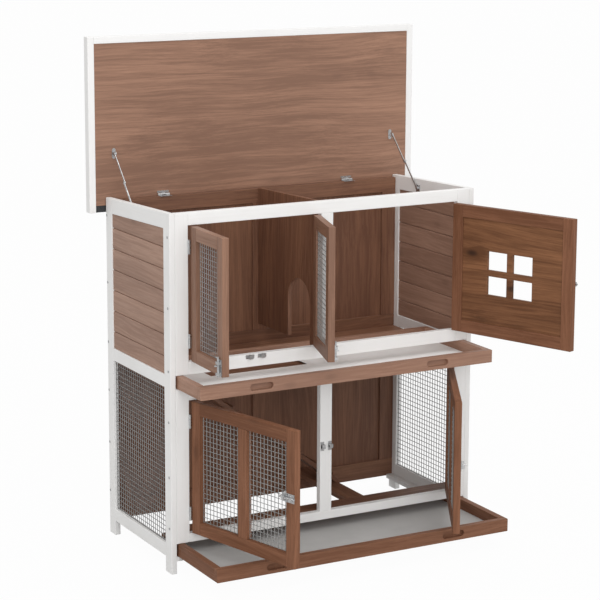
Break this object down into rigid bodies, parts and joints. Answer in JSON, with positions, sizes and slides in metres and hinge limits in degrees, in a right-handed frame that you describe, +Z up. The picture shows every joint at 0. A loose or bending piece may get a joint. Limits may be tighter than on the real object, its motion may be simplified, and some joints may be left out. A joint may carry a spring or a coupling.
{
  "type": "rabbit hutch",
  "caption": "Two-storey wooden rabbit hutch with a lift-up felted roof, mesh and panelled doors, pull-out trays and an inside ramp.",
  "frame": {"origin": "on the ground, in the middle of the underside of the front left foot", "axes": "+X to the right seen from the front, +Y from front to back, +Z up"},
  "size_m": [1.0275, 0.7861, 1.3421],
  "materials": {
    "white_wood": "opaque white wood paint, satin",
    "brown_wood": "brown stained softwood, satin",
    "inner_wood": "dark brown stained board",
    "mesh": "galvanised welded wire",
    "steel": "zinc plated",
    "pan": "pale grey coated sheet",
    "felt": "mineral roofing felt"
  },
  "bodies": {
    "hutch": {"side_frame_left": "white_wood", "side_frame_right": "white_wood", "front_frame_upper": "white_wood", "front_frame_lower": "white_wood", "tray_runners": "white_wood", "side_planks_left": "brown_wood", "side_planks_right": "brown_wood", "back_frame": "inner_wood", "back_panels": "inner_wood", "partition": "inner_wood", "upper_floor": "inner_wood", "base_bars": "inner_wood", "ramp_board": "inner_wood", "ramp_cleats": "inner_wood", "ramp_hanger": "inner_wood", "side_mesh_left": "mesh", "side_mesh_right": "mesh", "side_screws": "steel", "keepers": "steel", "door_hinge_leaves": "steel", "roof_hinge_fixed": "steel", "stay_brackets_wall": "steel"},
    "roof": {"roof_frame": "white_wood", "roof_panel": "brown_wood", "roof_felt": "felt", "roof_hinge_moving": "steel", "stay_brackets_roof": "steel"},
    "tray_upper": {"tray_upper_frame": "brown_wood", "tray_upper_pan": "pan"},
    "tray_lower": {"tray_lower_frame": "brown_wood", "tray_lower_pan": "pan"},
    "stay_top_left": {"stay_upper_left": "steel"},
    "stay_foot_left": {"stay_lower_left": "steel"},
    "stay_top_right": {"stay_upper_right": "steel"},
    "stay_foot_right": {"stay_lower_right": "steel"},
    "door_1": {"door_1_frame": "brown_wood", "door_1_mesh": "mesh", "door_1_leaves": "steel", "door_1_bolt_plate": "steel"},
    "bolt_1": {"door_1_bolt": "steel"},
    "door_2": {"door_2_frame": "brown_wood", "door_2_mesh": "mesh", "door_2_leaves": "steel", "door_2_bolt_plate": "steel"},
    "bolt_2": {"door_2_bolt": "steel"},
    "door_3": {"door_3_frame": "brown_wood", "door_3_panel": "brown_wood", "door_3_leaves": "steel", "door_3_bolt_plate": "steel"},
    "bolt_3": {"door_3_bolt": "steel"},
    "door_4": {"door_4_frame": "brown_wood", "door_4_mesh": "mesh", "door_4_leaves": "steel", "door_4_bolt_plate": "steel"},
    "bolt_4": {"door_4_bolt": "steel"},
    "door_5": {"door_5_frame": "brown_wood", "door_5_mesh": "mesh", "door_5_leaves": "steel", "door_5_bolt_plate": "steel"},
    "bolt_5": {"door_5_bolt": "steel"}
  },
  "joints": [
    {"name": "roof_hinge", "type": "hinge", "parent": "hutch", "child": "roof", "pos_m": [0.4425, 0.369, 0.91611], "axis": [1, 0, 0], "range_deg": [0, 87.94]},
    {"name": "stay_top_left_pin", "type": "hinge", "parent": "roof", "child": "stay_top_left", "pos_m": [0.0151, 0.3625, 1.034], "axis": [1, 0, 0], "range_deg": [-9.19, 0.2]},
    {"name": "stay_foot_left_pin", "type": "hinge", "parent": "stay_top_left", "child": "stay_foot_left", "pos_m": [0.0127, 0.2984, 0.9663], "axis": [1, 0, 0], "range_deg": [-166.29, 0.2]},
    {"name": "stay_top_right_pin", "type": "hinge", "parent": "roof", "child": "stay_top_right", "pos_m": [0.8699, 0.3625, 1.034], "axis": [1, 0, 0], "range_deg": [-9.19, 0.2]},
    {"name": "stay_foot_right_pin", "type": "hinge", "parent": "stay_top_right", "child": "stay_foot_right", "pos_m": [0.8723, 0.2984, 0.9663], "axis": [1, 0, 0], "range_deg": [-166.29, 0.2]},
    {"name": "tray_upper_slide", "type": "slide", "parent": "hutch", "child": "tray_upper", "axis": [0, -1, 0], "range_m": [-0.1305, 0.18]},
    {"name": "tray_lower_slide", "type": "slide", "parent": "hutch", "child": "tray_lower", "axis": [0, -1, 0], "range_m": [-0.22, 0.095]},
    {"name": "door_1_hinge", "type": "hinge", "parent": "hutch", "child": "door_1", "pos_m": [0.04475, -0.022, 0.554], "axis": [0, 0, -1], "range_deg": [-92, 78]},
    {"name": "bolt_1_slide", "type": "slide", "parent": "door_1", "child": "bolt_1", "axis": [0, 0, -1], "range_m": [0, 0.013]},
    {"name": "door_2_hinge", "type": "hinge", "parent": "hutch", "child": "door_2", "pos_m": [0.42425, -0.022, 0.554], "axis": [0, 0, 1], "range_deg": [-72, 18]},
    {"name": "bolt_2_slide", "type": "slide", "parent": "door_2", "child": "bolt_2", "axis": [0, 0, -1], "range_m": [0, 0.013]},
    {"name": "door_3_hinge", "type": "hinge", "parent": "hutch", "child": "door_3", "pos_m": [0.84025, -0.022, 0.554], "axis": [0, 0, 1], "range_deg": [-110, 60]},
    {"name": "bolt_3_slide", "type": "slide", "parent": "door_3", "child": "bolt_3", "axis": [0.342, -0.9397, 0], "range_m": [0, 0.013]},
    {"name": "door_4_hinge", "type": "hinge", "parent": "hutch", "child": "door_4", "pos_m": [0.04475, -0.022, 0.28], "axis": [0, 0, -1], "range_deg": [-75, 95]},
    {"name": "bolt_4_slide", "type": "slide", "parent": "door_4", "child": "bolt_4", "axis": [0.2588, -0.9659, 0], "range_m": [0, 0.013]},
    {"name": "door_5_hinge", "type": "hinge", "parent": "hutch", "child": "door_5", "pos_m": [0.84025, -0.022, 0.28], "axis": [0, 0, 1], "range_deg": [-60, 110]},
    {"name": "bolt_5_slide", "type": "slide", "parent": "door_5", "child": "bolt_5", "axis": [-0.5, -0.866, 0], "range_m": [0, 0.013]}
  ],
  "couplings": [
    {"joint": "stay_top_left_pin", "follows": "roof_hinge", "ratio": -0.10224},
    {"joint": "stay_foot_left_pin", "follows": "roof_hinge", "ratio": -1.8886},
    {"joint": "stay_top_right_pin", "follows": "roof_hinge", "ratio": -0.10224},
    {"joint": "stay_foot_right_pin", "follows": "roof_hinge", "ratio": -1.8886}
  ]
}
